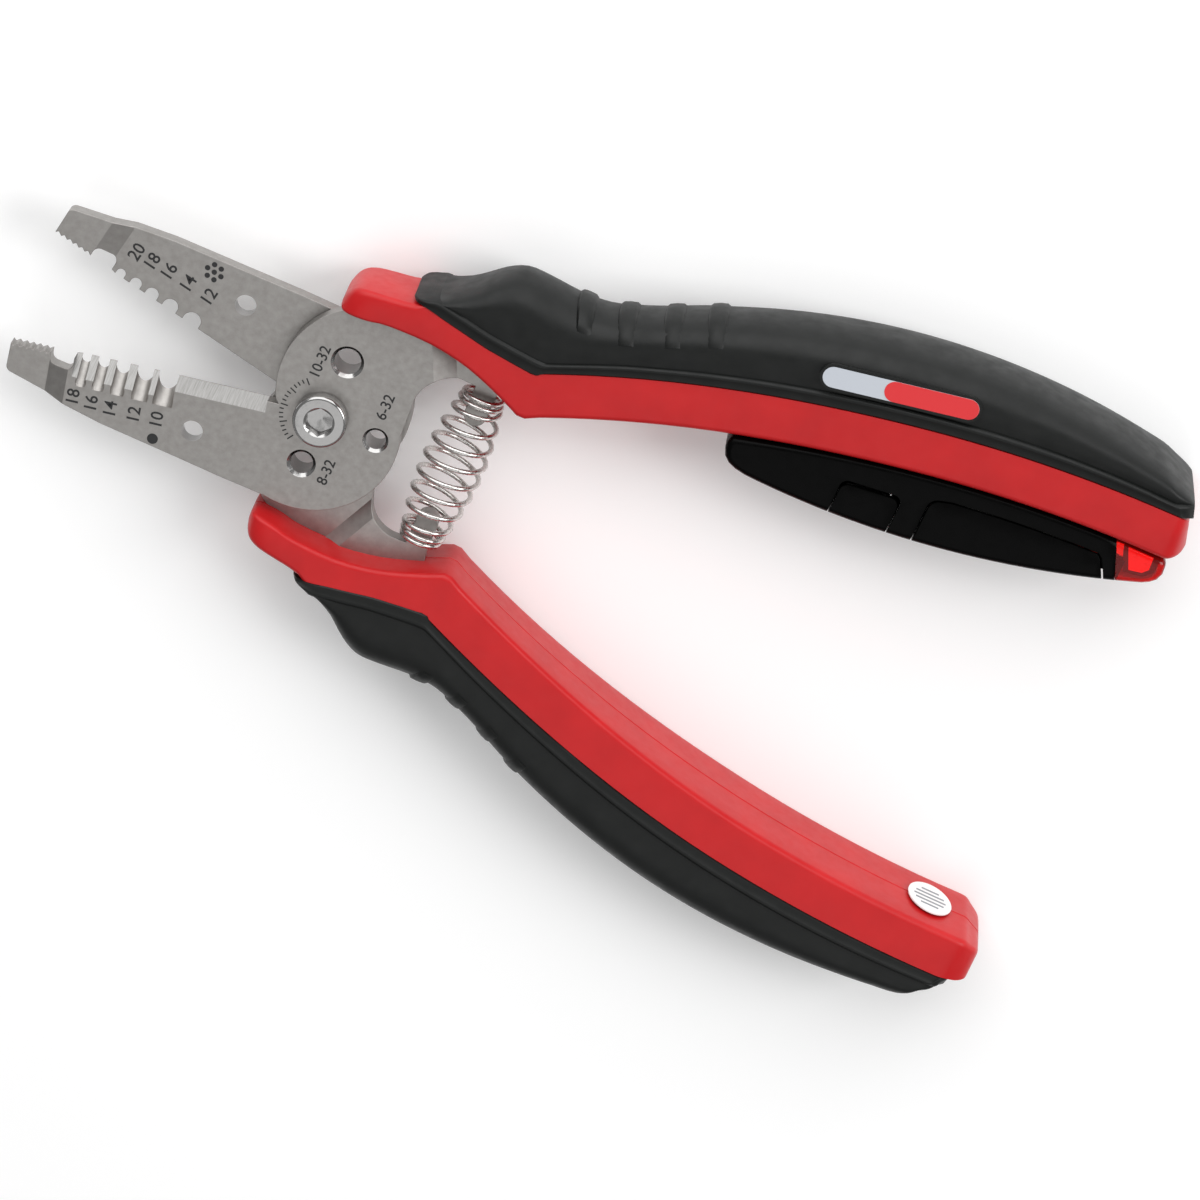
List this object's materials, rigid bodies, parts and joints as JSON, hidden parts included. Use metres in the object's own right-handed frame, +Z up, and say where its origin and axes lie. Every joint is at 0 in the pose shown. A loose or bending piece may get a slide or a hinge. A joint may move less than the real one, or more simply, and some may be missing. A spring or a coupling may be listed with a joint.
{
  "type": "wire stripper",
  "caption": "Hand tool with two notched stripping jaws on a sprung pivot, curved two-colour handles, and a live-wire detector pod with button, battery door and lamp in the upper handle.",
  "frame": {"origin": "the middle of the bounding box in X and Y, at the height of the handles' backs on which the tool lies", "axes": "X runs from the jaws' tips to the butts of the handles, Y from the lower handle to the upper one with the detector, and Z up, out of the blade that is in front"},
  "size_m": [0.174, 0.1038, 0.0194],
  "materials": {
    "blade_steel": "ground and brushed, slightly grey",
    "screw_steel": "polished",
    "spring_steel": "bright drawn wire",
    "handle_red": "satin moulded plastic",
    "grip_black": "soft overmould, finely textured",
    "badge_grey": "satin, grey at one end and red at the other",
    "label_white": "printed film with plain grey marks",
    "pod_black": "smooth moulded plastic",
    "button_black": "smooth moulded plastic",
    "lens_red": "clear red plastic",
    "led_red": "clear epoxy, lit red",
    "board_green": "glass-fibre board with solder mask",
    "contact_brass": "bright strip",
    "cell_nickel": "nickel-plated can"
  },
  "bodies": {
    "upper_half": {"front_blade": "blade_steel", "upper_handle_core": "handle_red", "upper_grip": "grip_black", "handle_badge": "badge_grey", "pivot_screw": "screw_steel", "pivot_nut": "screw_steel", "return_spring": "spring_steel", "detector_housing": "pod_black", "detector_chassis": "pod_black", "indicator_lens": "lens_red", "indicator_led": "led_red", "circuit_board": "board_green", "sensor_antenna": "contact_brass", "tactile_switch": "pod_black", "buzzer": "pod_black", "battery_cell_front": "cell_nickel", "battery_cell_rear": "cell_nickel", "battery_contact_upper": "contact_brass"},
    "lower_half": {"rear_blade": "blade_steel", "lower_handle_core": "handle_red", "lower_grip": "grip_black", "oval_label": "label_white"},
    "button": {"power_button": "button_black"},
    "door": {"battery_door": "pod_black", "battery_contact_lower": "contact_brass"}
  },
  "joints": [
    {"name": "blade_pivot", "type": "hinge", "parent": "upper_half", "child": "lower_half", "pos_m": [-0.03938, 0, 0.0093], "axis": [0, 0, 1], "range_deg": [0, 22.5], "stiffness_Nm_per_rad": 1, "springref_deg": -28.65, "deforming": ["return_spring"]},
    {"name": "button_press", "type": "slide", "parent": "upper_half", "child": "button", "axis": [-0.1904, 0.9817, 0], "range_m": [0, 0.0005], "stiffness_N_per_m": 800, "springref_m": -0.0003},
    {"name": "door_lift", "type": "slide", "parent": "upper_half", "child": "door", "axis": [0, -1, 0], "range_m": [0, 0.012]}
  ]
}
